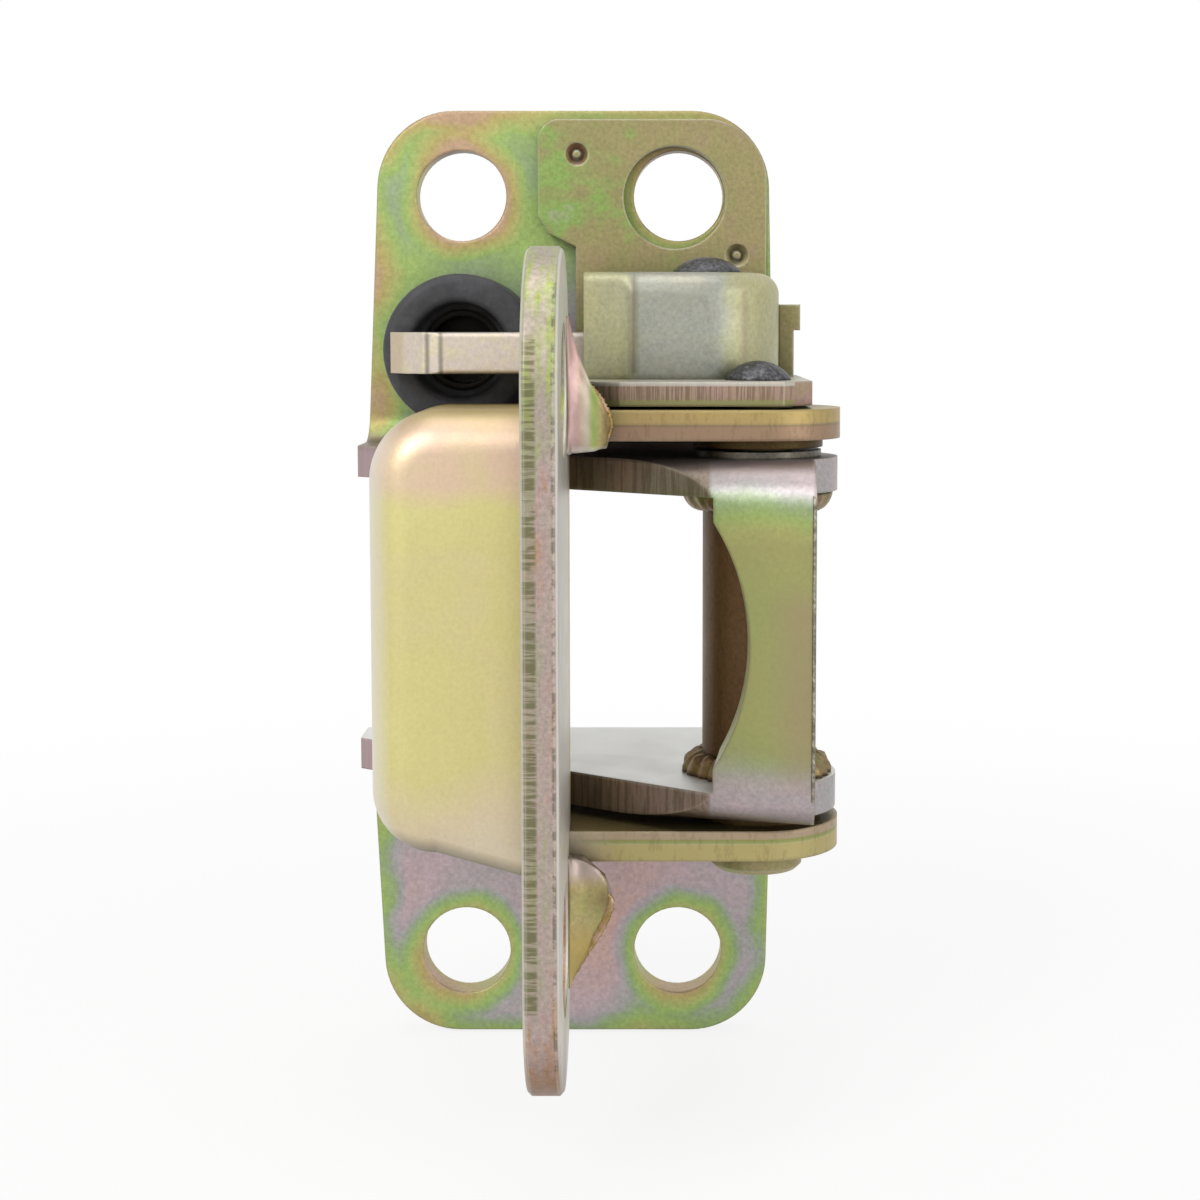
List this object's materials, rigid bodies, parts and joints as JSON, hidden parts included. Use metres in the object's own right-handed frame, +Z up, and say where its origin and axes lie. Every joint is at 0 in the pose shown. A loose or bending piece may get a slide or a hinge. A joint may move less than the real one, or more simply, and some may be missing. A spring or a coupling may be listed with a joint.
{
  "type": "vehicle door hinge",
  "caption": "Folded and drawn steel hinge for a vehicle door, with a riveted pin, a sprung stop lever under a cover and a rubber bumper.",
  "frame": {"origin": "centre of the four pillar bolt holes, on the back face of the pillar bracket", "axes": "+Z up along the pin, -Y out from the pillar towards the viewer of the picture, +X to the right"},
  "size_m": [0.0677, 0.078, 0.1394],
  "materials": {
    "bracket_zinc": "yellow chromate over zinc plated steel",
    "door_zinc": "yellow chromate over zinc plated steel",
    "cover_zinc": "pale yellow chromate over zinc plated steel",
    "lever_zinc": "pale yellow chromate over zinc plated steel",
    "sleeve_zinc": "yellow chromate over zinc plated steel",
    "weld_zinc": "plated weld bead",
    "pin_steel": "riveted end bare and dark, foot plated",
    "rivet_steel": "dark phosphated steel",
    "spring_steel": "oiled spring steel",
    "washer_steel": "plain steel",
    "bush_bronze": "sintered bronze bush",
    "rubber": "matte black rubber"
  },
  "bodies": {
    "pillar_half": {"pillar_bracket": "bracket_zinc", "pin_barrel": "bracket_zinc", "upper_barrel_weld": "weld_zinc", "lower_barrel_weld": "weld_zinc", "hinge_pin": "pin_steel", "upper_thrust_washer": "washer_steel", "check_bracket": "bracket_zinc", "check_cover": "cover_zinc", "lever_rivet": "rivet_steel", "pivot_sleeve": "sleeve_zinc", "rubber_bumper": "rubber", "bumper_sleeve": "sleeve_zinc"},
    "door_half": {"door_strap": "door_zinc", "door_plate": "door_zinc", "upper_ear_bush": "bush_bronze", "lower_ear_bush": "bush_bronze", "upper_strap_weld": "weld_zinc", "lower_strap_weld": "weld_zinc"},
    "check_lever": {"stop_lever": "lever_zinc", "lever_spring": "spring_steel", "lever_washer": "washer_steel"}
  },
  "joints": [
    {"name": "door_pin", "type": "hinge", "parent": "pillar_half", "child": "door_half", "pos_m": [0.0263, -0.0365, 0], "axis": [0, 0, 1], "range_deg": [0, 90]},
    {"name": "lever_pivot", "type": "hinge", "parent": "pillar_half", "child": "check_lever", "pos_m": [0.0198, -0.0235, 0.034], "axis": [0, 0, 1], "range_deg": [0, 8], "stiffness_Nm_per_rad": 0.5, "springref_deg": -20.05}
  ]
}
